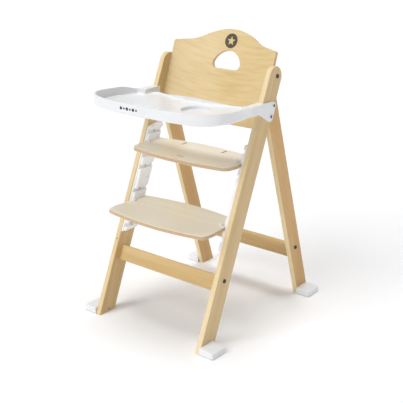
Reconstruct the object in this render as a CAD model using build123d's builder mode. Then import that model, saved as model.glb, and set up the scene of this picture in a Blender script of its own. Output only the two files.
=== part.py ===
"""Wooden baby high chair: plywood side frames, bent backrest, sliding seat and footrest, plastic tray.

Millimetres. X runs across the chair, Y from front to back, Z up. The origin is on the floor under the
middle of the chair. "Left" is the -X side and "right" the +X side, as seen from the front.
"""

from build123d import *
from math import cos, radians, sin, sqrt, tan
import os

# ---------------------------------------------------------------- driving dimensions
board = 18.0                 # thickness of the side boards and of both crossbars
inner_half = 198.0           # from the middle plane to the inner face of a side
outer_half = inner_half + board
half_depth = 303.0           # from the middle to the front and to the back edge of the legs on the floor

front_width = 66.0           # front leg, across the grain
front_lean = radians(23.17)  # leans back
front_top = 776.0            # height of the centre of the round top
rear_width = 60.0
rear_lean = radians(17.84)   # leans forward, against the front leg
edge_round = 3.0

front_bar_height, front_bar_along = 50.0, 203.0
rear_bar_height, rear_bar_along = 54.0, 171.0
front_bolt_up, rear_bolt_up, bar_dowel_down = 13.0, 17.0, 13.0

back_lean = radians(19.9)    # lean of the backrest
back_thick = 11.0
back_bulge = 37.6            # how far its middle stands behind its ends, square to the panel
back_front_y, back_front_z = 28.0, 675.0    # a point of the front face where it meets the sides
back_low, back_crown, back_shoulder = 616.0, 890.0, 848.0
back_corner = 10.0           # how far the rounding of its upper corners reaches
badge_z, badge_across, badge_depth = 855.0, 47.0, 1.6

plate_thick = 12.0
plate_gap = 0.4              # free height above a plate in its groove
level_pitch = 35.86
lowest_level = 285.3         # top of a plate in the lowest groove
footrest_levels = (0, 1, 2, 3)
seat_levels = (5, 6, 7, 8)
footrest_now, seat_now = 2, 7
rail_skin, rail_depth = 5.0, 15.0
relief_depth = 2.0           # of the sink relief in each raised block
rail_low, rail_high = 260.0, 584.0
screw_levels = (0, 3, 5, 6, 8)

lock_x, lock_ahead = 176.8, 4.6             # axis of a plate lock, and its place behind the leg's front
tray_front, tray_back = -302.0, -49.0
tray_joint = -64.0           # where the tray's side walls meet the brackets
tray_skirt, tray_rim = 694.0, 724.0          # lower and upper edge of the wall
tray_under, back_rim, arm_top = 688.0, 695.0, 707.0
tray_wall, tray_floor = 3.5, 3.5
cup_x, cup_y, cup_across, cup_deep = 64.0, -129.0, 88.0, 9.0
tray_travel = 40.0
tongue_in, tongue_out = 186.0, 204.0
tongue_low, tongue_high, tongue_tip = 677.5, 687.7, -150.0

latch_y, latch_z = -126.0, 682.5             # middle of a tray latch, inside the tongue
latch_nose, latch_body, latch_long, latch_high = 183.2, 12.8, 11.4, 5.4
latch_pocket, latch_travel = 16.0, 3.2
tab_x, tab_wide, tab_long, tab_low = 193.5, 3.4, 7.0, 670.0

foot_length, foot_reach, foot_height, sole = 66.0, 50.0, 23.0, 4.0
bolt, bolt_hole = 6.0, 6.4
back_bolt, back_bolt_hole = 5.0, 5.4
dowel, dowel_hole, dowel_length = 8.0, 8.2, 36.0

pieces = {}


def keep(name, builder):
    """Give a finished piece its label and put it on the list to be written."""
    builder.part.label = name
    pieces[name] = builder.part


def keep_pair(name, right):
    """Keep a right-hand piece, and its mirror image for the left side."""
    keep(f"{name}_right", right)
    with BuildPart() as left:
        mirror(right.part, about=Plane.YZ)
    keep(f"{name}_left", left)


# ---------------------------------------------------------------- places on the legs
def front_edge(z, across=0.0):
    """Y of the front leg's front edge at height z, or of a line that far behind it, square to it."""
    return -half_depth + z * tan(front_lean) + across / cos(front_lean)


def rear_edge(z, across=0.0):
    """Y of the rear leg's back edge at height z, or of a line that far in front of it."""
    return half_depth - z * tan(rear_lean) - across / cos(rear_lean)


def on_front_leg(along, across=0.0):
    """(y, z) of a point up the front leg's middle line from the floor, and that far behind the line."""
    y = front_edge(0, front_width / 2) + along * sin(front_lean) + across * cos(front_lean)
    return y, along * cos(front_lean) - across * sin(front_lean)


def on_rear_leg(along, across=0.0):
    """(y, z) of a point up the rear leg's middle line from the floor, and that far behind the line."""
    y = rear_edge(0, rear_width / 2) - along * sin(rear_lean) + across * cos(rear_lean)
    return y, along * cos(rear_lean) + across * sin(rear_lean)


def across_x(x, y, z):
    """A plane square to X, whose local axes are Y and Z, with its origin at the given point."""
    return Plane((x, y, z), x_dir=(0, 1, 0), z_dir=(1, 0, 0))


def pin(y, z, start, end, diameter):
    """A plain round pin along X, added to the part being built (or cut, through its mode)."""
    with BuildSketch(across_x(start, y, z)) as face:
        Circle(diameter / 2)
    return extrude(face.sketch, end - start, mode=Mode.PRIVATE)


def bore(y, z, start, end, diameter):
    """Cut a round hole along X out of the part being built."""
    add(pin(y, z, start, end, diameter), mode=Mode.SUBTRACT)


def level_top(level):
    """Height of a plate's top face when it is in that groove."""
    return lowest_level + level * level_pitch


front_bolt = on_front_leg(front_bar_along + front_bolt_up)
front_dowel = on_front_leg(front_bar_along - bar_dowel_down)
rear_bolt = on_rear_leg(rear_bar_along + rear_bolt_up)
rear_dowel = on_rear_leg(rear_bar_along - bar_dowel_down)
front_foot_screw = (-260.0, 9.5)
rear_foot_screw = (272.0, 9.5)
bracket_bolts = ((51.0, 693.5), (36.5, 662.0))


def back_face(z):
    """Y of the backrest's front face at height z, where it meets the sides."""
    return back_front_y + (z - back_front_z) * tan(back_lean)


back_bolt_set = 7.6          # bolt axis behind the front face
back_bolts = [(back_face(z) + back_bolt_set, z) for z in (778.0, 679.0)]
rail_screws = [
    (front_edge(level_top(n) - plate_thick / 2, front_width / 2), level_top(n) - plate_thick / 2)
    for n in screw_levels
]

# ---------------------------------------------------------------- side boards
mitre_low = (2 * half_depth - (front_width / cos(front_lean) + rear_width / cos(rear_lean))) / (
    tan(front_lean) + tan(rear_lean)
)
mitre_high = (2 * half_depth - front_width / cos(front_lean)) / (tan(front_lean) + tan(rear_lean))
mitre_dowels = [(front_edge(z, front_width), z) for z in (mitre_low + 19, mitre_high - 34)]
mitre_square = (cos(front_lean), -sin(front_lean))      # square to the mitre, pointing back


def mitre_pin(y, z, diameter, half_length):
    """A pin through the middle of the board, square to the mitre between front and rear leg."""
    middle = (outer_half + inner_half) / 2
    run = Plane((middle, y, z), x_dir=(1, 0, 0), z_dir=(0, *mitre_square))
    with BuildSketch(run) as face:
        Circle(diameter / 2)
    return extrude(face.sketch, half_length, both=True, mode=Mode.PRIVATE)


top_y = front_edge(front_top, front_width / 2)
half_front = front_width / 2
side_forward = (-cos(front_lean) * half_front, sin(front_lean) * half_front)
side_up = (sin(front_lean) * half_front, cos(front_lean) * half_front)

with BuildPart() as front_leg_right:
    with BuildSketch(Plane.YZ.offset(inner_half)):
        with BuildLine():
            foot_front = (front_edge(0), 0)
            foot_back = (front_edge(0, front_width), 0)
            shoulder_front = (top_y + side_forward[0], front_top + side_forward[1])
            shoulder_back = (top_y - side_forward[0], front_top - side_forward[1])
            crest = (top_y + side_up[0], front_top + side_up[1])
            Polyline(shoulder_back, foot_back, foot_front, shoulder_front)
            ThreePointArc(shoulder_front, crest, shoulder_back)
        make_face()
    extrude(amount=board)
    long_edges = front_leg_right.edges().filter_by(Axis.X, reverse=True).filter_by(
        lambda edge: edge.center().Z > 1
    )
    fillet(long_edges, edge_round)
    bore(*front_bolt, inner_half - 1, outer_half + 1, bolt_hole)
    bore(*front_dowel, inner_half - 1, inner_half + 10, dowel_hole)
    bore(*front_foot_screw, inner_half - 1, outer_half + 1, 5.0)
    for y, z in back_bolts:
        bore(y, z, inner_half - 1, outer_half + 1, back_bolt_hole)
    bore(*back_bolts[1], outer_half - 5, outer_half + 1, 11.0)
    for y, z in bracket_bolts:
        bore(y, z, inner_half - 1, outer_half + 1, bolt_hole)
        bore(y, z, inner_half - 1, inner_half + 12, 9.2)
    for y, z in rail_screws:
        bore(y, z, inner_half - 1, inner_half + 13, 3.6)
    for y, z in mitre_dowels:
        add(mitre_pin(y, z, dowel_hole, dowel_length / 2 + 0.5), mode=Mode.SUBTRACT)
keep_pair("front_leg", front_leg_right)

with BuildPart() as rear_leg_right:
    with BuildSketch(Plane.YZ.offset(inner_half)):
        with BuildLine():
            Polyline(
                (rear_edge(0, rear_width), 0),
                (rear_edge(0), 0),
                (rear_edge(mitre_high), mitre_high),
                (rear_edge(mitre_low, rear_width), mitre_low),
                close=True,
            )
        make_face()
    extrude(amount=board)
    grain = Axis((0, 0, 0), (0, -sin(rear_lean), cos(rear_lean)))
    fillet(rear_leg_right.edges().filter_by(grain), edge_round)
    bore(*rear_bolt, inner_half - 1, outer_half + 1, bolt_hole)
    bore(*rear_dowel, inner_half - 1, inner_half + 10, dowel_hole)
    bore(*rear_foot_screw, inner_half - 1, outer_half + 1, 5.0)
    for y, z in mitre_dowels:
        add(mitre_pin(y, z, dowel_hole, dowel_length / 2 + 0.5), mode=Mode.SUBTRACT)
keep_pair("rear_leg", rear_leg_right)

with BuildPart() as mitre_dowels_right:
    for y, z in mitre_dowels:
        add(mitre_pin(y, z, dowel, dowel_length / 2))
keep_pair("mitre_dowels", mitre_dowels_right)


# ---------------------------------------------------------------- crossbars
def crossbar(centre, lean, height, bolt_at, dowel_at, nut_side):
    """A bar between the sides, with a bolt hole, a dowel hole and a barrel-nut hole at each end."""
    seat = Plane((0, *centre), x_dir=(1, 0, 0), z_dir=(0, sin(lean), cos(lean)))
    with BuildPart(seat) as bar:
        Box(2 * inner_half, board, height)
        fillet(bar.edges().filter_by(Axis.X), edge_round)
    with BuildPart() as drilled:
        add(bar.part)
        for side in (-1, 1):
            end = side * inner_half
            add(pin(*bolt_at, end, end - side * 34, bolt_hole), mode=Mode.SUBTRACT)
            add(pin(*dowel_at, end, end - side * 27, dowel_hole), mode=Mode.SUBTRACT)
            add(barrel(side, bolt_at, lean, nut_side, 10.2), mode=Mode.SUBTRACT)
    return drilled


def barrel(side, bolt_at, lean, nut_side, diameter):
    """The round body of a barrel nut, lying square to the bar's face, from that face inwards."""
    square = (0, nut_side * cos(lean), -nut_side * sin(lean))
    face_middle = Vector(side * 171.6, *bolt_at) + Vector(*square) * (board / 2)
    with BuildSketch(Plane(face_middle, x_dir=(1, 0, 0), z_dir=-Vector(*square))) as face:
        Circle(diameter / 2)
    return extrude(face.sketch, 15.0, mode=Mode.PRIVATE)


front_bar_centre = on_front_leg(front_bar_along)
rear_bar_centre = on_rear_leg(rear_bar_along)
keep("front_crossbar", crossbar(front_bar_centre, front_lean, front_bar_height, front_bolt, front_dowel, 1))
keep("rear_crossbar", crossbar(rear_bar_centre, -rear_lean, rear_bar_height, rear_bolt, rear_dowel, -1))


def button_bolt(y, z, seat_x, tip_x, shank, head, head_high):
    """A furniture bolt along X: a low domed head at seat_x and a plain shank to tip_x, with a socket."""
    out = 1 if seat_x > tip_x else -1
    with BuildPart() as screw:
        with BuildSketch(across_x(seat_x, y, z)):
            Circle(head / 2)
        extrude(amount=out * head_high)
        fillet(screw.edges().filter_by(GeomType.CIRCLE).sort_by(Axis.X)[-1 if out > 0 else 0], 0.8)
        with BuildSketch(across_x(seat_x, y, z)):
            Circle(shank / 2)
        extrude(amount=tip_x - seat_x)
        with BuildSketch(across_x(seat_x + out * head_high, y, z)):
            RegularPolygon(head * 0.2, 6)
        extrude(amount=-out * head_high * 0.8, mode=Mode.SUBTRACT)
    return screw.part


with BuildPart() as crossbar_bolts:
    for y, z in (front_bolt, rear_bolt):
        for side in (-1, 1):
            add(button_bolt(y, z, side * outer_half, side * (outer_half - 50), bolt, 13.0, 2.6))
keep("crossbar_bolts", crossbar_bolts)

with BuildPart() as barrel_nuts:
    for at, lean, face in ((front_bolt, front_lean, 1), (rear_bolt, -rear_lean, -1)):
        for side in (-1, 1):
            add(barrel(side, at, lean, face, 10.0))
            add(pin(*at, side * 160, side * 184, bolt + 0.1), mode=Mode.SUBTRACT)
keep("barrel_nuts", barrel_nuts)

with BuildPart() as crossbar_dowels:
    for y, z in (front_dowel, rear_dowel):
        for side in (-1, 1):
            add(pin(y, z, side * (inner_half - 26), side * (inner_half + 9.5), dowel))
keep("crossbar_dowels", crossbar_dowels)

# ---------------------------------------------------------------- bent backrest
bend = (inner_half**2 + back_bulge**2) / (2 * back_bulge)      # inner radius of the bent panel
back_foot = (0, back_face(back_low), back_low)
back_up = Vector(0, sin(back_lean), cos(back_lean))
back_plan = Plane(back_foot, x_dir=(1, 0, 0), z_dir=back_up)
back_view = Plane(back_foot, x_dir=(1, 0, 0), z_dir=(0, -cos(back_lean), sin(back_lean)))


def up_panel(x, z):
    """Distance up the leaning panel of a point of its front face at that x and height."""
    behind = sqrt(bend**2 - x**2) - (bend - back_bulge)
    return (z - back_low + behind * sin(back_lean)) / cos(back_lean)


def panel_point(x, z):
    return x, up_panel(x, z)


hole_low, hole_middle, hole_high = 771.0, 790.0, 826.0
with BuildPart() as backrest:
    with BuildSketch(back_plan.offset(-20)):
        with Locations((0, back_bulge - bend)):
            Circle(bend + back_thick)
            Circle(bend, mode=Mode.SUBTRACT)
        with Locations((0, 30)):
            Rectangle(2 * outer_half, 120, mode=Mode.INTERSECT)
    extrude(amount=360)
    with BuildSketch(back_view):
        with BuildLine():
            foot_line = Line((-inner_half, 8), (inner_half, 8))
            shoulder = up_panel(inner_half - back_corner, back_shoulder)
            right_side = Line(foot_line @ 1, (inner_half, shoulder - 0.8 * back_corner))
            corner = TangentArc(
                [right_side @ 1, (inner_half - back_corner, shoulder)],
                tangent=right_side % 1,
            )
            flat = Line(corner @ 1, panel_point(146, back_shoulder + 4))
            wave = Spline(
                flat @ 1,
                panel_point(107, 862),
                panel_point(81, 874),
                panel_point(40, 886),
                panel_point(0, back_crown),
                tangents=[flat % 1, (-1, 0)],
            )
            mirror(right_side, Plane.YZ)
            mirror(corner, Plane.YZ)
            mirror(flat, Plane.YZ)
            mirror(wave, Plane.YZ)
        make_face()
        with BuildLine():
            sill = Line(panel_point(-40, hole_low), panel_point(40, hole_low))
            arch = ThreePointArc(
                panel_point(53, hole_middle), panel_point(0, hole_high), panel_point(-53, hole_middle)
            )
            RadiusArc(arch @ 1, sill @ 0, -17)
            RadiusArc(sill @ 1, arch @ 0, -17)
        make_face(mode=Mode.SUBTRACT)
    extrude(amount=80, both=True, mode=Mode.INTERSECT)
    for y, z in back_bolts:
        for side in (-1, 1):
            add(pin(y, z, side * inner_half, side * (inner_half - 9), 7.0), mode=Mode.SUBTRACT)

badge_up = up_panel(0, badge_z)
badge_centre = Vector(*back_foot) + back_up * badge_up
badge_plane = Plane(badge_centre, x_dir=(1, 0, 0), z_dir=(0, cos(back_lean), -sin(back_lean)))
with BuildPart() as badge_cutter:
    with BuildSketch(badge_plane):
        Circle(badge_across / 2)
    extrude(amount=back_bulge + 20)
with BuildPart() as badge_band:
    with BuildSketch(back_plan.offset(badge_up - 60)):
        with Locations((0, back_bulge - bend)):
            Circle(bend + badge_depth)
            Circle(bend - 0.4, mode=Mode.SUBTRACT)
    extrude(amount=120)
with BuildPart() as backrest_badge:
    add(badge_cutter.part)
    add(badge_band.part, mode=Mode.INTERSECT)
with BuildPart() as backrest_pocketed:
    add(backrest.part)
    add(backrest_badge.part, mode=Mode.SUBTRACT)
keep("backrest", backrest_pocketed)
keep("backrest_badge", backrest_badge)

with BuildPart() as backrest_bolts:
    for side in (-1, 1):
        tip = side * (inner_half - 8)
        add(button_bolt(*back_bolts[0], side * outer_half, tip, back_bolt, 13.0, 2.6))
        add(button_bolt(*back_bolts[1], side * (outer_half - 5), tip, back_bolt, 10.0, 2.6))
keep("backrest_bolts", backrest_bolts)

with BuildPart() as backrest_inserts:
    for y, z in back_bolts:
        for side in (-1, 1):
            add(pin(y, z, side * inner_half, side * (inner_half - 9), 6.9))
            add(pin(y, z, side * inner_half, side * (inner_half - 9), back_bolt + 0.1), mode=Mode.SUBTRACT)
keep("backrest_inserts", backrest_inserts)

# ---------------------------------------------------------------- grooved rails
groove_levels = sorted(footrest_levels + seat_levels)


def rail_front(z):
    return front_edge(z, 3.0)


def rail_back(z):
    return front_edge(z, front_width - 3.0)


def block_front(z):
    return front_edge(z, 6.0)


def block_back(z):
    return front_edge(z, front_width - 9.0)


def rail_blocks():
    """Heights from and to for each raised block: between the grooves, under the lowest, over the top."""
    floors = [rail_low + 3.0]
    floors += [level_top(n) + plate_gap for n in groove_levels]
    ceilings = [level_top(n) - plate_thick for n in groove_levels] + [rail_high]
    return list(zip(floors, ceilings))


with BuildPart() as rail_right:
    with BuildSketch(Plane.YZ.offset(inner_half - rail_skin)):
        with BuildLine():
            low_front = (rail_front(rail_low), rail_low)
            low_back = (rail_back(rail_low + 3), rail_low + 3)
            high_back = (rail_back(rail_high + 5), rail_high + 5)
            high_front = (rail_front(rail_high - 3), rail_high - 3)
            crest_y = (high_back[0] + high_front[0]) / 2
            Polyline(high_front, low_front, low_back, high_back)
            ThreePointArc(high_back, (crest_y - 2, rail_high + 5), high_front)
        make_face()
    extrude(amount=rail_skin)
    for low, high in rail_blocks():
        with BuildSketch(Plane.YZ.offset(inner_half - rail_depth)):
            with BuildLine():
                Polyline(
                    (block_front(low), low),
                    (block_back(low), low),
                    (block_back(high), high),
                    (block_front(high), high),
                    close=True,
                )
            make_face()
        extrude(amount=rail_depth - rail_skin)
    leg_run = Axis((0, 0, 0), (0, sin(front_lean), cos(front_lean)))
    block_corners = rail_right.edges().filter_by(leg_run).filter_by(
        lambda edge: abs(edge.center().X - (inner_half - rail_depth)) < 0.01
    )
    front_corners = block_corners.filter_by(
        lambda edge: edge.center().Y < front_edge(edge.center().Z, front_width / 2)
    )
    fillet(front_corners, 5.0)
    for low, high in rail_blocks()[1:-1]:
        middle = (low + high) / 2
        start = front_edge(middle, front_width / 2)
        with BuildSketch(across_x(inner_half - rail_depth, start, middle)):
            SlotOverall(22, 5, align=(Align.MIN, Align.CENTER))
        extrude(amount=relief_depth, mode=Mode.SUBTRACT)
    for y, z in rail_screws:
        bore(y, z, inner_half - rail_skin - 1, inner_half + 1, 4.0)
        with BuildSketch(across_x(inner_half - rail_skin, y, z)):
            Circle(4.2)
        extrude(amount=2.1, taper=45, mode=Mode.SUBTRACT)
keep_pair("rail", rail_right)

with BuildPart() as rail_screws_right:
    for y, z in rail_screws:
        with BuildSketch(across_x(inner_half - rail_skin, y, z)):
            Circle(3.9)
        extrude(amount=2.0, taper=45)
        add(pin(y, z, inner_half - rail_skin, inner_half + 12, 3.5))
        with BuildSketch(across_x(inner_half - rail_skin, y, z)):
            Rectangle(3.6, 0.9)
            Rectangle(0.9, 3.6)
        extrude(amount=1.2, mode=Mode.SUBTRACT)
keep_pair("rail_screws", rail_screws_right)

# ---------------------------------------------------------------- seat and footrest plates
groove_half = inner_half - rail_skin - 0.4      # half width of a plate inside the rails


def lock_place(level):
    """(x, y) of a plate's right-hand lock, just behind the leg's front edge."""
    return lock_x, front_edge(level_top(level)) + lock_ahead


def plate(level, front_middle, front_corner, widest, back_corner_y, back_middle, corner_round):
    """A plywood plate: bowed front and back, widest ahead of the legs, and straight inside the rails."""
    top = level_top(level)
    neck = (groove_half, front_edge(top - plate_thick) - 4)
    with BuildPart() as board_piece:
        with BuildSketch(Plane.XY.offset(top - plate_thick)) as outline:
            with BuildLine():
                left_corner = (-front_corner[0], front_corner[1])
                ThreePointArc(left_corner, (0, front_middle), front_corner)
                Polyline(front_corner, widest, neck, (groove_half, back_corner_y))
                ThreePointArc((groove_half, back_corner_y), (0, back_middle), (-groove_half, back_corner_y))
                Polyline(
                    (-groove_half, back_corner_y), (-neck[0], neck[1]), (-widest[0], widest[1]), left_corner
                )
            make_face()
            fillet(outline.vertices().group_by(Axis.Y)[-1], 9.0)
            fillet(outline.vertices().group_by(Axis.Y)[2], 12.0)
            fillet(outline.vertices().group_by(Axis.Y)[1], 30.0)
            fillet(outline.vertices().group_by(Axis.Y)[0], corner_round)
        extrude(amount=plate_thick)
        rims = board_piece.faces().filter_by(Axis.Z).edges()
        fillet(rims, 1.5)
        for side in (-1, 1):
            x, y = lock_place(level)
            with Locations((side * x, y, top)):
                Hole(3.2)
    return board_piece


seat_plate = plate(seat_now, -159.0, (187.0, -138.0), (196.0, -96.0), 1.0, 24.0, 24.0)
strap_slots = (((80.0, -7.0), 90), ((-80.0, -7.0), 90), ((0.0, -124.0), 0))
with BuildPart() as seat_slotted:
    add(seat_plate.part)
    for (x, y), turn in strap_slots:
        with BuildSketch(Plane.XY.offset(level_top(seat_now))):
            with Locations(Location((x, y, 0), (0, 0, turn))):
                SlotOverall(28, 6)
        extrude(amount=-plate_thick, mode=Mode.SUBTRACT)
keep("seat_plate", seat_slotted)
keep(
    "footrest_plate",
    plate(footrest_now, -274.0, (191.0, -252.0), (197.0, -213.0), -82.0, -58.0, 16.0),
)


def lock_knob(level, side):
    """Quarter-turn knob on top of a plate, with its spindle through the plate."""
    x, y = lock_place(level)
    top = level_top(level) + 0.2
    with BuildPart(Plane((side * x, y, top))) as knob:
        Cylinder(5.6, 8.5, align=(Align.CENTER, Align.CENTER, Align.MIN))
        fillet(knob.edges().group_by(Axis.Z)[-1], 3.0)
        Cylinder(3.0, plate_thick + 6.6, align=(Align.CENTER, Align.CENTER, Align.MAX))
    return knob


def lock_cam(level, side):
    """Steel cam under the plate, keyed on the spindle; its lobe points at the rail when it is shut."""
    x, y = lock_place(level)
    high = level_top(level) - plate_thick - 0.2
    with BuildPart() as cam:
        with BuildSketch(Plane((side * x, y, high))):
            Circle(5.0)
            with Locations((side * 0.9, 0)):
                Circle(5.0)
            with Locations((-side * 7.5, 0)):
                Rectangle(9.0, 4.0)
            Circle(3.05, mode=Mode.SUBTRACT)
        extrude(amount=-5.0)
    return cam


for plate_name, level in (("seat", seat_now), ("footrest", footrest_now)):
    for side, hand in ((1, "right"), (-1, "left")):
        keep(f"{plate_name}_knob_{hand}", lock_knob(level, side))
        keep(f"{plate_name}_cam_{hand}", lock_cam(level, side))

# ---------------------------------------------------------------- tray
inside = inner_half - 4.5     # half width of the tray between the brackets
floor_top = tray_under + tray_floor


def tray_outline(inset):
    """Plan of the tray, or of its basin, which is the same shape drawn in by a wall."""
    with BuildSketch() as plan:
        with BuildLine():
            right_points = [
                (100, tray_front + 1 + inset),
                (165 - 0.3 * inset, tray_front + 11 + inset),
                (211 - 0.6 * inset, tray_front + 31 + 0.8 * inset),
                (239 - inset, tray_front + 62 + 0.4 * inset),
                (249 - inset, -195),
                (246 - inset, -126),
                (226 - inset, tray_joint - inset),
            ]
            left_points = [(-x, y) for x, y in reversed(right_points)]
            front = Spline(*left_points, (0, tray_front + inset), *right_points)
            step = Line(front @ 1, (inside - inset, tray_joint - inset))
            side_wall = Line(step @ 1, (inside - inset, -38 - inset))
            corner = Line(side_wall @ 1, (172.5, -21.5 - inset))
            back = ThreePointArc(corner @ 1, (0, tray_back - inset), (-172.5, -21.5 - inset))
            for line in (step, side_wall, corner):
                mirror(line, Plane.YZ)
        make_face()
        if inset > 0:
            fillet(plan.vertices().sort_by_distance((226, tray_joint))[0], 8.0)
            fillet(plan.vertices().sort_by_distance((-226, tray_joint))[0], 8.0)
    return plan.sketch


with BuildPart() as tray_shell:
    with BuildSketch(Plane.XY.offset(tray_under)):
        add(tray_outline(0))
    extrude(amount=tray_rim - tray_under)
    with BuildSketch(Plane.YZ):
        with BuildLine():
            rim_line = Line((-340, tray_rim), (-235, tray_rim))
            rim_fall = Spline(
                rim_line @ 1,
                (-165, tray_rim - 3.5),
                (-105, tray_rim - 8),
                (tray_joint, arm_top),
                tangents=[(1, 0), (1, -0.1)],
            )
            Polyline(rim_fall @ 1, (-58, arm_top), (-38, back_rim), (40, back_rim), (40, 780), (-340, 780))
            Line((-340, 780), rim_line @ 0)
        make_face()
    extrude(amount=320, both=True, mode=Mode.SUBTRACT)
    with BuildSketch(Plane.YZ):
        with BuildLine():
            Polyline(
                (-340, tray_skirt), (-130, tray_skirt), (tray_joint, 683), (40, 683), (40, 640), (-340, 640),
                close=True,
            )
        make_face()
    extrude(amount=320, both=True, mode=Mode.SUBTRACT)
with BuildPart() as pan:
    with BuildSketch(Plane.XY.offset(tray_under)):
        add(tray_outline(8.0))
    extrude(amount=tray_skirt + 2 - tray_under)
    fillet(pan.faces().sort_by(Axis.Z)[0].edges(), 6.0)
with BuildPart() as basin:
    with BuildSketch(Plane.XY.offset(floor_top)):
        add(tray_outline(tray_wall + 1.5))
    extrude(amount=90)
    fillet(basin.faces().sort_by(Axis.Z)[0].edges(), 7.0)
with BuildPart() as tray:
    add(tray_shell.part)
    add(pan.part)
    with Locations((cup_x, cup_y, floor_top - 1)):
        Cylinder(cup_across / 2 + 3, cup_deep + 2, align=(Align.CENTER, Align.CENTER, Align.MAX))
    add(basin.part, mode=Mode.SUBTRACT)
    with Locations((cup_x, cup_y, floor_top - cup_deep)):
        Cylinder(cup_across / 2, 30, align=(Align.CENTER, Align.CENTER, Align.MIN), mode=Mode.SUBTRACT)
    guide_end, guide_start = tray_joint - 4, tongue_tip - 16
    guide_low = tongue_low - 4.0
    for side in (-1, 1):
        middle = side * (tongue_in + tongue_out) / 2
        with BuildSketch(Plane.XZ.offset(-guide_end)):
            with Locations((middle, tray_under + 1)):
                Rectangle(tongue_out - tongue_in + 7, tray_under + 1 - guide_low, align=(Align.CENTER, Align.MAX))
            with Locations((middle, tray_under)):
                Rectangle(
                    tongue_out - tongue_in + 0.6,
                    tray_under - tongue_low + 0.3,
                    align=(Align.CENTER, Align.MAX),
                    mode=Mode.SUBTRACT,
                )
            with Locations((middle, guide_low)):
                Rectangle(9, 12, mode=Mode.SUBTRACT)
        extrude(amount=guide_end - guide_start)
        slot_long = latch_long + 0.6 + tray_travel
        with Locations((side * (tongue_in - 2), latch_y - latch_long / 2 - 0.3 + slot_long / 2, latch_z)):
            Box(5, slot_long, latch_high + 1.2, mode=Mode.SUBTRACT)
keep("tray", tray)


# ---------------------------------------------------------------- tray brackets
plate_out = outer_half + 5.0
arm_roof = arm_top - 4.0       # underside of the top of the arm
with BuildPart() as bracket_right:
    with BuildSketch(Plane.YZ.offset(outer_half + 0.1)):
        with BuildLine():
            Polyline(
                (tray_joint, 678.5), (tray_joint, arm_top), (45, arm_top), (58.6, 701), (64, 695),
                (45, 651), (40, 647.5), (32, 646), (24, 649), (-35, 686), (-43, 688.5), (-58, 687),
                close=True,
            )
        make_face()
    extrude(amount=plate_out - outer_half - 0.1)
    with BuildSketch(Plane.YZ.offset(inner_half - 4)):
        with BuildLine():
            Polyline(
                (tray_joint, 679), (tray_joint, arm_top), (9, arm_top), (9, 690), (-8, 684), (-20, 679),
                close=True,
            )
        make_face()
    extrude(amount=plate_out - inner_half + 4)
    with BuildSketch(Plane.YZ.offset(inner_half - 0.1)):
        with BuildLine():
            Polyline(
                (front_edge(640) - 0.1, 640), (front_edge(740) - 0.1, 740), (80, 740), (80, 640), close=True
            )
        make_face()
    extrude(amount=board + 0.2, mode=Mode.SUBTRACT)
    with BuildSketch(Plane.YZ.offset(inner_half)):
        with BuildLine():
            Polyline(
                (tray_joint + 3.5, 660),
                (front_edge(660), 660),
                (front_edge(arm_roof), arm_roof),
                (tray_joint + 3.5, arm_roof),
                close=True,
            )
        make_face()
    extrude(amount=board, mode=Mode.SUBTRACT)
    with BuildSketch(Plane.XZ.offset(-(tray_joint + 22))):
        with Locations(((tongue_in + tongue_out) / 2, (tongue_low + tongue_high) / 2)):
            Rectangle(tongue_out - tongue_in, tongue_high - tongue_low)
    extrude(amount=(tray_joint + 22) - tongue_tip)
    with Locations(((tongue_in + tongue_out) / 2 + 4, tray_joint + 13, 683)):
        Box(tongue_out - tongue_in - 8, 18, 8)
    for y, z in bracket_bolts:
        add(pin(y, z, plate_out, plate_out + 2, 17.0))
        bore(y, z, outer_half, plate_out + 3, bolt_hole)
        bore(y, z, plate_out - 2.5, plate_out + 3, 11.0)
    with Locations((tongue_in + latch_pocket / 2, latch_y, latch_z)):
        Box(latch_pocket, latch_long + 0.6, latch_high + 0.6, mode=Mode.SUBTRACT)
    with Locations((tab_x + latch_travel / 2, latch_y, tongue_low)):
        Box(tab_wide + latch_travel + 0.6, tab_long + 0.6, 8, mode=Mode.SUBTRACT)
keep_pair("tray_bracket", bracket_right)

with BuildPart() as saddle_right:
    with BuildSketch(Plane.YZ.offset(inner_half + 0.3)):
        with BuildLine():
            Polyline(
                (tray_joint + 24, 679),
                (front_edge(679) - 0.2, 679),
                (front_edge(702) - 0.2, 702),
                (tray_joint + 24, 702),
                close=True,
            )
        make_face()
    extrude(amount=board - 0.6)
    fillet(saddle_right.edges().filter_by(Axis.X).group_by(Axis.Y)[0].group_by(Axis.Z)[0], 6.0)
keep_pair("arm_saddle", saddle_right)

with BuildPart() as latch_right:
    with Locations((latch_nose + latch_body / 2, latch_y, latch_z)):
        Box(latch_body, latch_long, latch_high)
    with Locations((tab_x, latch_y, (tab_low + latch_z) / 2)):
        Box(tab_wide, tab_long, latch_z - tab_low)
    fillet(latch_right.edges().filter_by(Axis.Y).group_by(Axis.Z)[0], 1.2)
    fillet(latch_right.edges().filter_by(Axis.Z).group_by(Axis.X)[0], 1.0)
keep_pair("tray_latch", latch_right)

spring_start = latch_nose + latch_body
spring_end = tongue_in + latch_pocket
with BuildPart() as spring_right:
    with BuildLine():
        coil = Helix(
            pitch=1.5,
            height=spring_end - spring_start - 0.9,
            radius=1.8,
            center=(spring_start + 0.4, latch_y, latch_z),
            direction=(1, 0, 0),
        )
    with BuildSketch(Plane(coil @ 0, z_dir=coil % 0)):
        Circle(0.25)
    sweep(path=coil)
keep_pair("latch_spring", spring_right)

with BuildPart() as bracket_bolt_set:
    for y, z in bracket_bolts:
        for side in (-1, 1):
            add(button_bolt(y, z, side * (plate_out - 2.5), side * (inner_half + 1), bolt, 10.0, 3.4))
keep("bracket_bolts", bracket_bolt_set)

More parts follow.
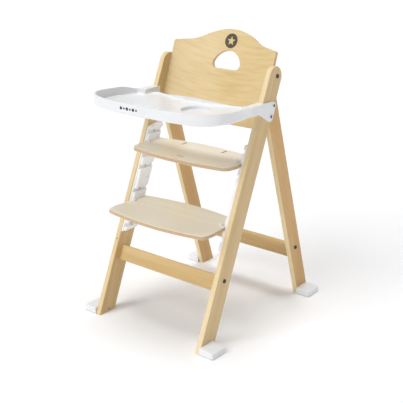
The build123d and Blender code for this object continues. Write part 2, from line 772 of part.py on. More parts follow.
with BuildPart() as bracket_inserts:
    for y, z in bracket_bolts:
        for side in (-1, 1):
            add(pin(y, z, side * inner_half, side * (inner_half + 12), 9.1))
            add(pin(y, z, side * inner_half, side * (inner_half + 12), bolt + 0.1), mode=Mode.SUBTRACT)
keep("bracket_inserts", bracket_inserts)


# ---------------------------------------------------------------- feet
def foot(front_y, screw_at):
    """A side foot: a plastic outrigger on the outer face of a leg, sloping a little outwards."""
    back_y = front_y + foot_length
    with BuildPart() as pad:
        with BuildSketch(Plane.XZ.offset(-back_y)):
            with BuildLine():
                Polyline(
                    (outer_half, sole),
                    (outer_half + foot_reach, sole),
                    (outer_half + foot_reach, foot_height - 3),
                    (outer_half, foot_height),
                    close=True,
                )
            make_face()
        extrude(amount=foot_length)
        fillet(pad.edges().filter_by(Axis.Z).group_by(Axis.X)[-1], 6.0)
        fillet(pad.faces().sort_by(Axis.Z)[-1].edges().filter_by_position(Axis.X, outer_half + 1, 900), 3.0)
        bore(*screw_at, outer_half - 1, outer_half + 26, 4.2)
    return pad


def foot_sole(front_y):
    with BuildPart() as rubber:
        with Locations((outer_half + foot_reach / 2, front_y + foot_length / 2, sole / 2)):
            Box(foot_reach - 0.8, foot_length - 1.6, sole)
        fillet(rubber.edges().filter_by(Axis.Z).group_by(Axis.X)[-1], 5.6)
    return rubber


front_foot_y, rear_foot_y = -half_depth, half_depth - foot_length - 6.0
keep_pair("front_foot", foot(front_foot_y, front_foot_screw))
keep_pair("rear_foot", foot(rear_foot_y, rear_foot_screw))
keep_pair("front_foot_sole", foot_sole(front_foot_y))
keep_pair("rear_foot_sole", foot_sole(rear_foot_y))

with BuildPart() as foot_screws:
    for y, z in (front_foot_screw, rear_foot_screw):
        for side in (-1, 1):
            add(button_bolt(y, z, side * inner_half, side * (outer_half + 25), 4.1, 9.0, 2.4))
keep("foot_screws", foot_screws)

# ---------------------------------------------------------------- write the pieces
os.makedirs("parts", exist_ok=True)
for name, piece in pieces.items():
    export_step(piece, f"parts/{name}.step")
print(len(pieces), "pieces written")
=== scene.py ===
"""Looks of a wooden baby high chair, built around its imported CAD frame.

Metres. X runs across the chair, Y from front to back, Z up, as in the CAD part.
"""

from math import cos, pi, radians, sin

import bmesh
import bpy
from mathutils import Matrix, Vector
from mathutils.bvhtree import BVHTree


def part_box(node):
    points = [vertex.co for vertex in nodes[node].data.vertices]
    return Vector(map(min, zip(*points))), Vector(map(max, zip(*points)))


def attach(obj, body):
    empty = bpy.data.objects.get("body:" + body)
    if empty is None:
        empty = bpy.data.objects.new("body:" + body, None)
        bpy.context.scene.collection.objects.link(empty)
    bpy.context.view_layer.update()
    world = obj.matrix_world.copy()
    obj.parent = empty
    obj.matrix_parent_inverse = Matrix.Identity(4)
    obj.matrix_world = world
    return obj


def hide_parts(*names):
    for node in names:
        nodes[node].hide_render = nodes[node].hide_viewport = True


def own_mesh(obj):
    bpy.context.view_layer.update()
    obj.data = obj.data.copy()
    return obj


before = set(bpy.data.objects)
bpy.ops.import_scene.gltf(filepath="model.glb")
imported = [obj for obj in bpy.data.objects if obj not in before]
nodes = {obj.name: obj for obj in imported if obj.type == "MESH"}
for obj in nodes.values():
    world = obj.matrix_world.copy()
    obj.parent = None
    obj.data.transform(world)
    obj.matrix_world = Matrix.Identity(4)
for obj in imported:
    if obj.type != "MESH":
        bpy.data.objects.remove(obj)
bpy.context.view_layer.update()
scene = bpy.context.scene

# ---------------------------------------------------------------- dimensions of the chair
FRONT_LEAN = radians(23.17)
REAR_LEAN = radians(17.84)
BACK_LEAN = radians(19.9)
BACK_THICK = 0.011
BACK_BULGE = 0.0376
INNER_HALF = 0.198             # middle line to the inner face of a leg
BEND = (INNER_HALF**2 + BACK_BULGE**2) / (2 * BACK_BULGE)      # radius of the bent panel's hollow face
PLATE_PLY, BACK_PLY = 0.0015, 0.0014      # thickness of one ply
VENEER = 0.0009                # outermost ply, which hides the glue lines
COIL_END = 0.202               # how far out a latch spring rests against the tray arm
CREASE = radians(24)           # edges of a moulding sharper than this stay crisp
BACK_LOW_FRONT = (0, 0.028, 0.675)      # low front edge of the backrest, on the middle line
ARCH_MIDDLE, ARCH_BEND = 0.07, 0.45     # the grain's arches on the backrest


# ---------------------------------------------------------------- node helpers
class Recipe:
    """A material being put together: its tree, and short calls that add one node each."""

    def __init__(self, name):
        self.material = bpy.data.materials.new(name)
        self.material.use_nodes = True
        self.tree = self.material.node_tree
        self.tree.nodes.clear()
        self.shader = self.node("ShaderNodeBsdfPrincipled")
        output = self.node("ShaderNodeOutputMaterial")
        self.link(self.shader.outputs["BSDF"], output.inputs["Surface"])
        self.coordinates = self.node("ShaderNodeTexCoord")

    def node(self, kind, **settings):
        made = self.tree.nodes.new(kind)
        for key, value in settings.items():
            setattr(made, key, value)
        return made

    def link(self, start, end):
        self.tree.links.new(start, end)

    def place(self, turn=(0, 0, 0), shift=(0, 0, 0)):
        """Object coordinates, turned and then shifted."""
        mapping = self.node("ShaderNodeMapping", vector_type="POINT")
        mapping.inputs["Location"].default_value = shift
        mapping.inputs["Rotation"].default_value = turn
        self.link(self.coordinates.outputs["Object"], mapping.inputs["Vector"])
        return mapping.outputs["Vector"]

    def stretch(self, vector, scale):
        """A vector scaled by its own factor on each axis; less than 1 draws a pattern out."""
        mapping = self.node("ShaderNodeMapping", vector_type="POINT")
        mapping.inputs["Scale"].default_value = scale
        self.link(vector, mapping.inputs["Vector"])
        return mapping.outputs["Vector"]

    def parts(self, vector):
        """The X, Y and Z of a vector, by name."""
        made = self.node("ShaderNodeSeparateXYZ")
        self.link(vector, made.inputs["Vector"])
        return made.outputs

    def noise(self, vector, scale, detail, roughness, distortion=0.0):
        made = self.node("ShaderNodeTexNoise")
        made.inputs["Scale"].default_value = scale
        made.inputs["Detail"].default_value = detail
        made.inputs["Roughness"].default_value = roughness
        made.inputs["Distortion"].default_value = distortion
        self.link(vector, made.inputs["Vector"])
        return made.outputs["Fac"]

    def ramp(self, value, *stops):
        made = self.node("ShaderNodeValToRGB")
        elements = made.color_ramp.elements
        while len(elements) < len(stops):
            elements.new(0.5)
        for element, (position, colour) in zip(elements, stops):
            element.position = position
            element.color = colour
        self.link(value, made.inputs["Fac"])
        return made.outputs["Color"]

    def grey(self, value, low, high, start, end):
        """A value moved from the range start..end to low..high."""
        made = self.node("ShaderNodeMapRange")
        for socket, number in zip(made.inputs[1:5], (start, end, low, high)):
            socket.default_value = number
        self.link(value, made.inputs["Value"])
        return made.outputs["Result"]

    def math(self, operation, first, second=None):
        made = self.node("ShaderNodeMath", operation=operation)
        for socket, value in zip(made.inputs, (first, second)):
            if isinstance(value, float):
                socket.default_value = value
            elif value is not None:
                self.link(value, socket)
        return made.outputs["Value"]

    def blend(self, factor, first, second, mode="MIX"):
        made = self.node("ShaderNodeMix", data_type="RGBA", blend_type=mode)
        colours = [socket for socket in made.inputs if socket.type == "RGBA"]
        for socket, value in zip((made.inputs["Factor"], *colours), (factor, first, second)):
            if isinstance(value, (float, tuple)):
                socket.default_value = value
            else:
                self.link(value, socket)
        return [socket for socket in made.outputs if socket.type == "RGBA"][0]

    def bump(self, height, strength, distance):
        made = self.node("ShaderNodeBump")
        made.inputs["Strength"].default_value = strength
        made.inputs["Distance"].default_value = distance
        self.link(height, made.inputs["Height"])
        return made.outputs["Normal"]

    def finish(self, colour, roughness, normal=None, **sockets):
        """Joins colour, roughness and relief to the shader and sets its other sockets."""
        for value, name in ((colour, "Base Color"), (roughness, "Roughness"), (normal, "Normal")):
            if value is None:
                continue
            if isinstance(value, float):
                self.shader.inputs[name].default_value = value
            else:
                self.link(value, self.shader.inputs[name])
        for name, value in sockets.items():
            self.shader.inputs[name.replace("_", " ")].default_value = value
        return self.material


def tone(red, green, blue):
    """A colour as a paint card gives it (11 to 255), in linear light."""
    return tuple(((part / 255 + 0.055) / 1.055) ** 2.4 for part in (red, green, blue)) + (1,)


# ---------------------------------------------------------------- materials
BLACK, WHITE = (0, 0, 0, 1), (1, 1, 1, 1)
ACROSS = (0, radians(90), 0)                  # turns a grain that runs along X onto Z
BAND_STRETCH = (1.0, 1.0, 0.07)               # growth bands, long along the grain
FIBRE_STRETCH, FIBRE_SCALE = (1.0, 1.0, 0.012), 900.0


def wood_fibre(recipe, along):
    """Fine fibres that run along local Z."""
    return recipe.noise(recipe.stretch(along, FIBRE_STRETCH), FIBRE_SCALE, 2.0, 0.6)


def wood_figure(recipe, along, seed):
    """Growth bands, broad clouds and fibres of a board whose grain runs along local Z."""
    shift = tuple(part + seed * 0.37 for part in (0.0, 0.21, 0.4))
    bands = recipe.stretch(along, BAND_STRETCH)
    moved = recipe.node("ShaderNodeVectorMath", operation="ADD")
    recipe.link(bands, moved.inputs[0])
    moved.inputs[1].default_value = shift
    growth = recipe.noise(moved.outputs["Vector"], 26.0, 4.0, 0.55, 0.6)
    broad = recipe.noise(moved.outputs["Vector"], 7.0, 2.0, 0.5)
    return growth, broad, wood_fibre(recipe, along)


def mixed(recipe, growth, broad, share):
    """Growth bands and broad clouds in one figure; share is the part of the bands."""
    banded, clouded = recipe.math("MULTIPLY", growth, share), recipe.math("MULTIPLY", broad, 1 - share)
    return recipe.math("ADD", banded, clouded)


def streaked(recipe, colour, fibre, low, high):
    """A colour made a little deeper and lighter along its fibres."""
    streak = recipe.ramp(recipe.grey(fibre, low, high, 0.3, 0.7), (0.0, BLACK), (1.0, WHITE))
    return recipe.blend(1.0, colour, streak, "MULTIPLY")


def board_wood(name, turn, light, middle, deep, seed, roughness=0.42, face=None):
    """Solid board. face, where given, is a painted shade multiplied into the broad faces, which stand square
    to X.
    """
    recipe = Recipe(name)
    along = recipe.place(turn=turn)
    growth, broad, fibre = wood_figure(recipe, along, seed)
    figure = mixed(recipe, growth, broad, 0.62)
    colour = recipe.ramp(figure, (0.34, deep), (0.5, middle), (0.68, light))
    colour = streaked(recipe, colour, fibre, 0.93, 1.04)
    if face:
        # painted shade: faces square to X are darkened by the face tint
        facing = recipe.parts(recipe.coordinates.outputs["Normal"])["X"]
        broad_face_shade = recipe.grey(recipe.math("ABSOLUTE", facing), 0.0, 1.0, 0.7, 0.95)
        colour = recipe.blend(1.0, colour, recipe.blend(broad_face_shade, WHITE, face), "MULTIPLY")
    gloss = recipe.grey(figure, roughness + 0.05, roughness - 0.05, 0.3, 0.7)
    normal = recipe.bump(fibre, 0.12, 0.0004)
    return recipe.finish(colour, gloss, normal, Coat_Weight=0.12, Coat_Roughness=0.3)


def plied(recipe, depth, thick, ply, outer_colour, glue, core):
    """Shows the plies of a panel where depth, in metres from its face, is inside the panel."""
    under_face = recipe.math("GREATER_THAN", depth, VENEER)
    above_back = recipe.math("LESS_THAN", depth, thick - VENEER)
    inside = recipe.math("MULTIPLY", under_face, above_back)
    wave = recipe.math("SINE", recipe.math("MULTIPLY", depth, pi / ply))
    stripes = recipe.ramp(recipe.grey(wave, 0.0, 1.0, -1.0, 1.0), (0.15, glue), (0.55, core), (0.9, core))
    return recipe.blend(recipe.math("MULTIPLY", inside, 0.8), outer_colour, stripes)


def lacquered(recipe, colour, figure, fibre):
    """The thin clear lacquer of a plywood panel over its streaked colour."""
    gloss = recipe.grey(figure, 0.42, 0.33, 0.3, 0.7)
    relief = recipe.bump(fibre, 0.1, 0.0003)
    colour = streaked(recipe, colour, fibre, 0.94, 1.03)
    return recipe.finish(colour, gloss, relief, Coat_Weight=0.15, Coat_Roughness=0.28)


def plate_ply(name, low, high, light, middle, deep, seed):
    """A flat plywood plate between the heights low and high."""
    recipe = Recipe(name)
    growth, broad, fibre = wood_figure(recipe, recipe.place(turn=ACROSS), seed)
    figure = mixed(recipe, growth, broad, 0.5)
    face = recipe.ramp(figure, (0.32, deep), (0.5, middle), (0.68, light))
    depth = recipe.math("SUBTRACT", recipe.parts(recipe.coordinates.outputs["Object"])["Z"], low)
    colour = plied(recipe, depth, high - low, PLATE_PLY, face, tone(142, 96, 50), tone(214, 176, 122))
    return lacquered(recipe, colour, figure, fibre)


def bent_ply(name, low_front, light, middle, deep):
    """Plies follow the bend: depth is measured from the panel's hollow face, square to the bend's axis."""
    recipe = Recipe(name)
    leaning = recipe.place(shift=tuple(-part for part in low_front))
    turned = recipe.node("ShaderNodeVectorRotate", rotation_type="X_AXIS")
    recipe.link(leaning, turned.inputs["Vector"])
    turned.inputs["Angle"].default_value = BACK_LEAN
    panel = recipe.parts(turned.outputs["Vector"])
    behind = recipe.math("ADD", panel["Y"], BEND - BACK_BULGE)
    across = recipe.math("POWER", panel["X"], 2.0)
    radius = recipe.math("SQRT", recipe.math("ADD", across, recipe.math("POWER", behind, 2.0)))
    depth = recipe.math("SUBTRACT", radius, BEND)
    flat = recipe.node("ShaderNodeCombineXYZ")
    recipe.link(panel["Z"], flat.inputs["X"])
    recipe.link(depth, flat.inputs["Y"])
    recipe.link(panel["X"], flat.inputs["Z"])
    # broad arched figure of a rotary cut face
    from_arch = recipe.math("SUBTRACT", panel["X"], ARCH_MIDDLE)
    arch = recipe.math("MULTIPLY", recipe.math("POWER", from_arch, 2.0), -ARCH_BEND)
    arched = recipe.math("ADD", panel["Z"], arch)
    sway = recipe.noise(recipe.stretch(flat.outputs["Vector"], (1.0, 1.0, 0.3)), 9.0, 2.0, 0.5)
    arched = recipe.math("ADD", arched, recipe.math("MULTIPLY", sway, 0.018))
    rings = recipe.node("ShaderNodeCombineXYZ")
    recipe.link(arched, rings.inputs["X"])
    recipe.link(recipe.math("MULTIPLY", panel["X"], 0.12), rings.inputs["Z"])
    growth = recipe.noise(rings.outputs["Vector"], 95.0, 4.0, 0.55)
    broad = recipe.noise(flat.outputs["Vector"], 6.0, 2.0, 0.5)
    fibre = wood_fibre(recipe, flat.outputs["Vector"])
    figure = mixed(recipe, growth, broad, 0.6)
    face = recipe.ramp(figure, (0.3, deep), (0.5, middle), (0.72, light))
    colour = plied(recipe, depth, BACK_THICK, BACK_PLY, face, tone(176, 132, 74), tone(228, 200, 150))
    return lacquered(recipe, colour, figure, fibre)


def moulded(name, colour, shade, roughness, grain, coat=0.0):
    """Moulded plastic: faint flow clouds and a fine grain."""
    recipe = Recipe(name)
    place = recipe.place()
    clouds = recipe.noise(place, 18.0, 2.0, 0.5)
    fine = recipe.noise(place, 900.0, 2.0, 0.5)
    base = recipe.ramp(clouds, (0.35, shade), (0.65, colour))
    normal = recipe.bump(fine, grain, 0.00005)
    gloss = recipe.grey(clouds, roughness - 0.03, roughness + 0.03, 0.3, 0.7)
    return recipe.finish(base, gloss, normal, Coat_Weight=coat, Coat_Roughness=0.15)


def metal(name, colour, shade, roughness):
    """Plated or blackened steel, or brass, with faint patches."""
    recipe = Recipe(name)
    place = recipe.place()
    patches = recipe.noise(place, 300.0, 3.0, 0.6)
    base = recipe.ramp(patches, (0.35, shade), (0.65, colour))
    gloss = recipe.grey(patches, roughness - 0.08, roughness + 0.08, 0.3, 0.7)
    normal = recipe.bump(recipe.noise(place, 1800.0, 2.0, 0.5), 0.08, 0.0001)
    return recipe.finish(base, gloss, normal, Metallic=1.0)


def rubber(name, colour, shade):
    """Matt rubber with a fine speckle."""
    recipe = Recipe(name)
    place = recipe.place()
    specks = recipe.noise(place, 500.0, 4.0, 0.6)
    base = recipe.ramp(specks, (0.35, shade), (0.65, colour))
    normal = recipe.bump(specks, 0.25, 0.0003)
    return recipe.finish(base, recipe.grey(specks, 0.7, 0.85, 0.3, 0.7), normal)


def printed(name, colour, shade):
    """Ink laid on wood or plastic."""
    recipe = Recipe(name)
    place = recipe.place()
    ink = recipe.noise(place, 700.0, 3.0, 0.5)
    base = recipe.ramp(ink, (0.35, shade), (0.65, colour))
    return recipe.finish(base, recipe.grey(ink, 0.4, 0.5, 0.3, 0.7), recipe.bump(ink, 0.1, 0.0001))


LEG_TONES = (tone(243, 226, 188), tone(236, 214, 168), tone(222, 196, 146))      # light, middle, deep
BAR_TONES = (tone(224, 196, 142), tone(211, 179, 122), tone(194, 156, 98))
BACK_TONES = (tone(230, 209, 160), tone(223, 197, 144), tone(211, 179, 120))
PLATE_TONES = (tone(252, 246, 230), tone(250, 241, 220), tone(246, 233, 206))
DOWEL_TONES = (tone(222, 196, 152), tone(208, 180, 134), tone(190, 160, 112))
PLUG_TONES = (tone(120, 92, 62), tone(96, 70, 46), tone(72, 52, 34))
FRONT_FACE_SHADE, REAR_FACE_SHADE = (0.84, 0.75, 0.62, 1), (0.80, 0.60, 0.36, 1)      # painted shade: darker, warmer tints multiplied into the legs' broad faces
END_GRAIN_ROUGHNESS = 0.6

front_turn = (FRONT_LEAN, 0, 0)
rear_turn = (-REAR_LEAN, 0, 0)
woods = {}
for first_seed, end, turn, face in ((1, "front", front_turn, FRONT_FACE_SHADE), (3, "rear", rear_turn, REAR_FACE_SHADE)):
    for seed, side in enumerate(("left", "right"), first_seed):
        woods[f"{end}_leg_{side}"] = board_wood(f"leg_wood_{end}_{side}", turn, *LEG_TONES, seed, face=face)
for seed, end in enumerate(("front", "rear"), 5):
    woods[f"{end}_crossbar"] = board_wood(f"bar_wood_{end}", ACROSS, *BAR_TONES, seed)
dowel = board_wood("dowel_wood", ACROSS, *DOWEL_TONES, 7, END_GRAIN_ROUGHNESS)
for seed, plate in ((8, "seat"), (11, "footrest")):
    low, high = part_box(f"{plate}_plate")
    woods[f"{plate}_plate"] = plate_ply(f"{plate}_ply", low.z, high.z, *PLATE_TONES, seed)
woods["backrest"] = bent_ply("backrest_ply", BACK_LOW_FRONT, *BACK_TONES)
white_plastic = moulded("white_plastic", tone(238, 239, 241), tone(235, 236, 238), 0.3, 0.05, 0.2)
white_rail = moulded("white_rail", tone(250, 251, 252), tone(247, 248, 250), 0.45, 0.1)
dark_steel = metal("dark_steel", tone(96, 98, 104), tone(52, 52, 56), 0.36)
zinc_steel = metal("zinc_steel", tone(206, 206, 202), tone(168, 168, 164), 0.34)
brass = metal("brass", tone(214, 176, 104), tone(186, 148, 80), 0.3)
sole_rubber = rubber("grey_rubber", tone(226, 226, 226), tone(206, 206, 207))
badge_ink = printed("badge_ink", tone(84, 78, 60), tone(66, 60, 46))
dot_ink = printed("dot_ink", tone(58, 58, 60), tone(40, 40, 42))
star_wood = board_wood("star_wood", ACROSS, *BACK_TONES, 9)
plug_wood = board_wood("plug_wood", front_turn, *PLUG_TONES, 10, END_GRAIN_ROUGHNESS)

# part of a node's name, and its finish; every other node is white plastic
finish_of = {
    "dowels": dowel, "crossbar_bolts": dark_steel, "backrest_bolts": dark_steel, "bracket_bolts": dark_steel,
    "barrel_nuts": zinc_steel, "rail_screws": zinc_steel, "foot_screws": zinc_steel, "cam": zinc_steel,
    "spring": zinc_steel, "inserts": brass, "sole": sole_rubber, "badge": badge_ink, "rail_left": white_rail,
    "rail_right": white_rail,
}
for name, node in nodes.items():
    finish = woods.get(name) or next((made for key, made in finish_of.items() if key in name), white_plastic)
    node.data.materials.clear()
    node.data.materials.append(finish)


# ---------------------------------------------------------------- mouldings with clean faces, and springs
def moulding(name, node_name, body):
    """A merged copy of a CAD node, smooth but for its creases."""
    mesh = nodes[node_name].data.copy()
    mesh.name = name
    work = bmesh.new()
    work.from_mesh(mesh)
    bmesh.ops.remove_doubles(work, verts=work.verts, dist=1e-6)
    bmesh.ops.dissolve_degenerate(work, edges=work.edges, dist=1e-6)
    work.to_mesh(mesh)
    work.free()
    if "custom_normal" in mesh.attributes:
        mesh.attributes.remove(mesh.attributes["custom_normal"])
    mesh.polygons.foreach_set("use_smooth", [True] * len(mesh.polygons))
    mesh.set_sharp_from_angle(angle=CREASE)
    piece = bpy.data.objects.new(name, mesh)
    scene.collection.objects.link(piece)
    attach(piece, body)
    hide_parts(node_name)
    return piece


moulding("tray_moulding", "tray", "tray")
for side in ("left", "right"):
    moulding(f"tray_arm_{side}", f"tray_bracket_{side}", "frame")
    moulding(f"front_foot_moulding_{side}", f"front_foot_{side}", "frame")
    moulding(f"rear_foot_moulding_{side}", f"rear_foot_{side}", "frame")
    coil = moulding(f"latch_coil_{side}", f"latch_spring_{side}", "frame")
    coil_low, coil_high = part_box(f"latch_spring_{side}")
    coil_middle = (coil_low + coil_high) / 2
    coil_middle.x = COIL_END if side == "right" else -COIL_END
    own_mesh(coil)


# ---------------------------------------------------------------- shapes made with Geometry Nodes
class Pattern:
    """A Geometry Nodes tree being put together, with its named inputs."""

    def __init__(self, name, inputs):
        self.tree = bpy.data.node_groups.new(name, "GeometryNodeTree")
        self.sockets = {}
        for label, (kind, default) in inputs.items():
            socket = self.tree.interface.new_socket(label, in_out="INPUT", socket_type=kind)
            if default is not None:
                socket.default_value = default
            self.sockets[label] = socket.identifier
        self.tree.interface.new_socket("Geometry", in_out="OUTPUT", socket_type="NodeSocketGeometry")
        self.source = self.tree.nodes.new("NodeGroupInput")
        self.result = self.tree.nodes.new("NodeGroupOutput")

    def node(self, kind, links=(), **settings):
        made = self.tree.nodes.new(kind)
        for key, value in settings.items():
            setattr(made, key, value)
        for label, source in dict(links).items():
            if isinstance(source, (int, float, tuple)):
                made.inputs[label].default_value = source
            else:
                self.tree.links.new(source, made.inputs[label])
        return made

    def make(self, name, values, material, body, place):
        """Runs the tree on an empty mesh and leaves one plain mesh that rides on the body."""
        carrier = bpy.data.objects.new(name, bpy.data.meshes.new(name))
        scene.collection.objects.link(carrier)
        modifier = carrier.modifiers.new("pattern", "NODES")
        modifier.node_group = self.tree
        for label, value in values.items():
            modifier[self.sockets[label]] = value
        evaluated = carrier.evaluated_get(bpy.context.evaluated_depsgraph_get())
        mesh = bpy.data.meshes.new_from_object(evaluated)
        carrier.modifiers.clear()
        mesh.transform(place)
        carrier.data = mesh
        mesh.materials.clear()
        mesh.materials.append(material)
        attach(carrier, body)


dots = Pattern("row_of_dots", {
    "Count": ("NodeSocketInt", 6), "Spacing": ("NodeSocketFloat", 0.012),
    "Radius": ("NodeSocketFloat", 0.005), "Height": ("NodeSocketFloat", 0.0005),
    "Bend": ("NodeSocketFloat", 1.0), "Ink": ("NodeSocketMaterial", None),
})
index = dots.node("GeometryNodeInputIndex")
count, spacing, radius, height, bend, ink = dots.source.outputs[:6]
line = dots.node("GeometryNodeMeshLine", {"Count": count})
middle = dots.node("ShaderNodeMath", {0: count, 1: 1.0}, operation="SUBTRACT").outputs[0]
middle = dots.node("ShaderNodeMath", {0: middle, 1: 0.5}, operation="MULTIPLY").outputs[0]
step = dots.node("ShaderNodeMath", {0: index.outputs[0], 1: middle}, operation="SUBTRACT").outputs[0]
along = dots.node("ShaderNodeMath", {0: step, 1: spacing}, operation="MULTIPLY").outputs[0]
square = dots.node("ShaderNodeMath", {0: along, 1: along}, operation="MULTIPLY").outputs[0]
sag = dots.node("ShaderNodeMath", {0: square, 1: bend}, operation="MULTIPLY").outputs[0]
spot = dots.node("ShaderNodeCombineXYZ", {"X": along, "Y": sag}).outputs[0]
points = dots.node("GeometryNodeSetPosition", {"Geometry": line.outputs[0], "Position": spot})
disc = dots.node("GeometryNodeMeshCylinder", {"Vertices": 32, "Radius": radius, "Depth": height})
even = dots.node("ShaderNodeMath", {0: index.outputs[0], 1: 2.0}, operation="MODULO").outputs[0]
small = dots.node("ShaderNodeMath", {0: even, 1: -0.35}, operation="MULTIPLY").outputs[0]
size = dots.node("ShaderNodeMath", {0: small, 1: 1.0}, operation="ADD").outputs[0]
size = dots.node("ShaderNodeCombineXYZ", {"X": size, "Y": size, "Z": 1.0}).outputs[0]
placed = dots.node("GeometryNodeInstanceOnPoints", {
    "Points": points.outputs[0], "Instance": disc.outputs[0], "Rotation": (pi / 2, 0.0, 0.0), "Scale": size})
solid = dots.node("GeometryNodeRealizeInstances", {"Geometry": placed.outputs[0]})
inked = dots.node("GeometryNodeSetMaterial", {"Geometry": solid.outputs[0], "Material": ink})
dots.tree.links.new(inked.outputs[0], dots.result.inputs[0])

ribs = Pattern("grip_ribs", {
    "Count": ("NodeSocketInt", 18), "Ring radius": ("NodeSocketFloat", 0.005),
    "Rib radius": ("NodeSocketFloat", 0.0005), "Rib length": ("NodeSocketFloat", 0.005),
    "Plastic": ("NodeSocketMaterial", None),
})
count, ring_radius, rib_radius, rib_length, plastic = ribs.source.outputs[:5]
ring = ribs.node("GeometryNodeMeshCircle", {"Vertices": count, "Radius": ring_radius})
rib = ribs.node("GeometryNodeMeshCylinder", {"Vertices": 10, "Radius": rib_radius, "Depth": rib_length})
placed = ribs.node("GeometryNodeInstanceOnPoints", {"Points": ring.outputs[0], "Instance": rib.outputs[0]})
solid = ribs.node("GeometryNodeRealizeInstances", {"Geometry": placed.outputs[0]})
coloured = ribs.node("GeometryNodeSetMaterial", {"Geometry": solid.outputs[0], "Material": plastic})
ribs.tree.links.new(coloured.outputs[0], ribs.result.inputs[0])


def surface_of(node_name):
    """A search tree over a CAD node's mesh, to lay small pieces on its faces."""
    mesh = nodes[node_name].data
    return BVHTree.FromPolygons([v.co for v in mesh.vertices], [p.vertices for p in mesh.polygons])


BACKWARD = Vector((0, 1, 0))
AHEAD = -0.4                   # a place in front of the whole chair

# a row of plain dots, large and small by turns, on the tray's front wall
MARK_X, MARK_Z, MARK_REACH = -0.043, 0.7085, 0.03
tray_surface = surface_of("tray")
wall = [tray_surface.ray_cast(Vector((MARK_X + aside, AHEAD, MARK_Z)), BACKWARD)[0]
        for aside in (-MARK_REACH, 0.0, MARK_REACH)]
sweep = (wall[0].y + wall[2].y) / 2 - wall[1].y
skew = (wall[2].y - wall[0].y) / (2 * MARK_REACH)
mark_place = Matrix.Translation(wall[1]) @ Matrix.Rotation(skew, 4, "Z")
dots.make("tray_dots", {
    "Count": 6, "Spacing": 0.0118, "Radius": 0.0048, "Height": 0.0005, "Bend": sweep / MARK_REACH**2,
    "Ink": dot_ink}, dot_ink, "tray", mark_place)

# grip ribs round the heads of the plate locks
RIB_RADIUS, RIB_SINK = 0.00045, 0.0002
RIB_FOOT, RIB_TOP = 0.0004, 0.0012      # gap over the plate, and how far below the knob's top the ribs end
for plate in ("seat", "footrest"):
    for side in ("left", "right"):
        low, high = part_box(f"{plate}_knob_{side}")
        centre = (low + high) / 2
        plate_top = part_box(f"{plate}_plate")[1].z
        reach = high.z - plate_top - RIB_FOOT - RIB_TOP
        place = Matrix.Translation((centre.x, centre.y, plate_top + reach / 2 + RIB_FOOT))
        ribs.make(f"{plate}_knob_ribs_{side}", {
            "Count": 18, "Ring radius": (high.x - low.x) / 2 - RIB_SINK, "Rib radius": RIB_RADIUS,
            "Rib length": reach, "Plastic": white_plastic,
        }, white_plastic, f"{plate}_lock_{side}", place)


# ---------------------------------------------------------------- small pieces made in mesh code
def solid_piece(name, build, material, body, place):
    """Makes the mesh that build fills in, moved to its place, and lets it ride on the body."""
    mesh = bpy.data.meshes.new(name)
    work = bmesh.new()
    build(work)
    bmesh.ops.recalc_face_normals(work, faces=work.faces)
    work.transform(place)
    work.to_mesh(mesh)
    work.free()
    mesh.materials.append(material)
    piece = bpy.data.objects.new(name, mesh)
    scene.collection.objects.link(piece)
    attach(piece, body)


def star(tips, outer, inner, thick):
    """A raised star that rises to a point in its middle, lying on the XY plane."""
    def build(work):
        rim = []
        for step_number in range(2 * tips):
            reach = outer if step_number % 2 == 0 else inner
            angle = pi / 2 + step_number * pi / tips
            rim.append((reach * cos(angle), reach * sin(angle)))
        low = [work.verts.new((x, y, -thick)) for x, y in rim]
        high = [work.verts.new((x, y, thick * 0.4)) for x, y in rim]
        peak = work.verts.new((0, 0, thick))
        work.faces.new(low)
        for here in range(len(rim)):
            after = (here + 1) % len(rim)
            work.faces.new((low[here], low[after], high[after], high[here]))
            work.faces.new((high[here], high[after], peak))
    return build


def domed_plug(radius_wide, thick, rings=4, around=24):
    """A small round plug with a softly domed face, lying on the XY plane."""
    def build(work):
        rows = []
        for ring_number in range(rings):
            angle = ring_number / rings * pi / 2
            r, z = radius_wide * cos(angle), thick * sin(angle)
            rows.append([work.verts.new((r * cos(2 * pi * k / around), r * sin(2 * pi * k / around), z))
                         for k in range(around)])
        under = [work.verts.new((v.co.x, v.co.y, -thick)) for v in rows[0]]
        top = work.verts.new((0, 0, thick))
        work.faces.new(under)
        for first, second in zip([under] + rows, rows):
            for k in range(around):
                after = (k + 1) % around
                work.faces.new((first[k], first[after], second[after], second[k]))
        for k in range(around):
            work.faces.new((rows[-1][k], rows[-1][(k + 1) % around], top))
    return build


STAR_TIPS, STAR_OUTER, STAR_INNER, STAR_THICK = 5, 0.0155, 0.0068, 0.0009
badge_low, badge_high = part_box("backrest_badge")
badge_middle = (badge_low.z + badge_high.z) / 2
badge_spot, *_ = surface_of("backrest_badge").ray_cast(Vector((0, AHEAD, badge_middle)), BACKWARD)
upright = Matrix.Rotation(pi / 2 - BACK_LEAN, 4, "X")
solid_piece("badge_star", star(STAR_TIPS, STAR_OUTER, STAR_INNER, STAR_THICK), star_wood, "frame",
            Matrix.Translation(badge_spot) @ upright)
PLUG_X, PLUG_Z = -0.2058, 0.2373
PLUG_RADIUS, PLUG_RISE = 0.0021, 0.0004
plug_spot, *_ = surface_of("front_leg_left").ray_cast(Vector((PLUG_X, AHEAD, PLUG_Z)), BACKWARD)
solid_piece("leg_plug", domed_plug(PLUG_RADIUS, PLUG_RISE), plug_wood, "frame",
            Matrix.Translation(plug_spot) @ Matrix.Rotation(pi / 2 - FRONT_LEAN, 4, "X"))

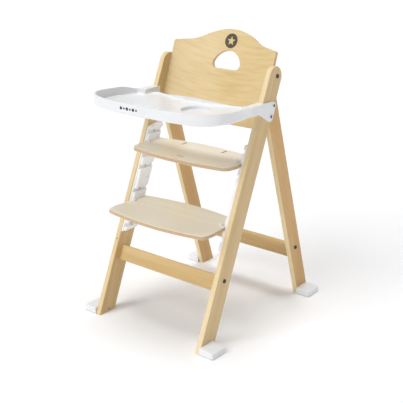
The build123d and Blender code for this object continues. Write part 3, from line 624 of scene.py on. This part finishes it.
# ---------------------------------------------------------------- studio
# a flat floor that rises into a round wall far away; each pair is a reach and a height
SWEEP = ((28.0, 0.0), (33.0, 0.5), (36.5, 1.9), (38.8, 4.4), (40.0, 8.0), (40.4, 12.0))
SWEEP_SIDES = 96
SKY_LEFT, SKY_RIGHT = 0.38, 0.08      # strength of the room's light from -X and from +X
rings = [[(reach * cos(2 * pi * k / SWEEP_SIDES), reach * sin(2 * pi * k / SWEEP_SIDES), rise)
          for k in range(SWEEP_SIDES)] for reach, rise in SWEEP]
faces = [tuple(range(SWEEP_SIDES))]
for ring_number in range(len(SWEEP) - 1):
    for k in range(SWEEP_SIDES):
        after = (k + 1) % SWEEP_SIDES
        inner, outer = ring_number * SWEEP_SIDES, (ring_number + 1) * SWEEP_SIDES
        faces.append((inner + k, outer + k, outer + after, inner + after))
floor_mesh = bpy.data.meshes.new("studio_floor")
floor_mesh.from_pydata([spot for ring_spots in rings for spot in ring_spots], [], faces)
floor_mesh.polygons.foreach_set("use_smooth", [False] + [True] * (len(faces) - 1))
floor_recipe = Recipe("studio_floor")
floor_cloud = floor_recipe.noise(floor_recipe.place(), 1.5, 2.0, 0.5)
floor_mesh.materials.append(floor_recipe.finish(
    floor_recipe.ramp(floor_cloud, (0.3, tone(249, 249, 250)), (0.7, tone(251, 251, 252))), 0.9,
    Specular_IOR_Level=0.0))
studio_floor = bpy.data.objects.new("studio_floor", floor_mesh)
scene.collection.objects.link(studio_floor)

world = bpy.data.worlds.new("studio")
world.use_nodes = True
sky = world.node_tree.nodes
direction = sky.new("ShaderNodeTexCoord")
parts = sky.new("ShaderNodeSeparateXYZ")
fall = sky.new("ShaderNodeMapRange")
for socket, number in zip(fall.inputs[1:5], (-1.0, 1.0, SKY_LEFT, SKY_RIGHT)):
    socket.default_value = number
world.node_tree.links.new(direction.outputs["Generated"], parts.inputs["Vector"])
world.node_tree.links.new(parts.outputs["X"], fall.inputs["Value"])
world.node_tree.links.new(fall.outputs["Result"], sky["Background"].inputs["Strength"])
sky["Background"].inputs["Color"].default_value = WHITE
scene.world = world


def soft_light(name, strength, spread, aim_from):
    """A wide, far light that shines from the given direction towards the chair."""
    lamp = bpy.data.lights.new(name, "SUN")
    lamp.energy = strength
    lamp.angle = radians(spread)
    holder = bpy.data.objects.new(name, lamp)
    holder.rotation_euler = Vector(aim_from).to_track_quat("Z", "Y").to_euler()
    holder.location = Vector(aim_from) * 3
    scene.collection.objects.link(holder)


soft_light("overhead", 1.6, 30, (0.0, 0.05, 1.0))
soft_light("key", 1.45, 40, (-0.25, -1.0, 0.9))

CAMERA_LENS, CAMERA_PLACE = 74.94, (1.5818, -2.0157, 1.2663)
CAMERA_FALL, CAMERA_TURN = 19.61, 38.39      # degrees below level, and from the Y axis towards -X
camera_data = bpy.data.cameras.new("camera")
camera_data.lens = CAMERA_LENS
camera_data.sensor_width = 36.0
camera_data.clip_end = 200.0
camera = bpy.data.objects.new("camera", camera_data)
camera.location = CAMERA_PLACE
camera.rotation_euler = (radians(90 - CAMERA_FALL), 0, radians(CAMERA_TURN))
scene.collection.objects.link(camera)
scene.camera = camera

scene.view_settings.view_transform = "Standard"
scene.view_settings.look = "None"
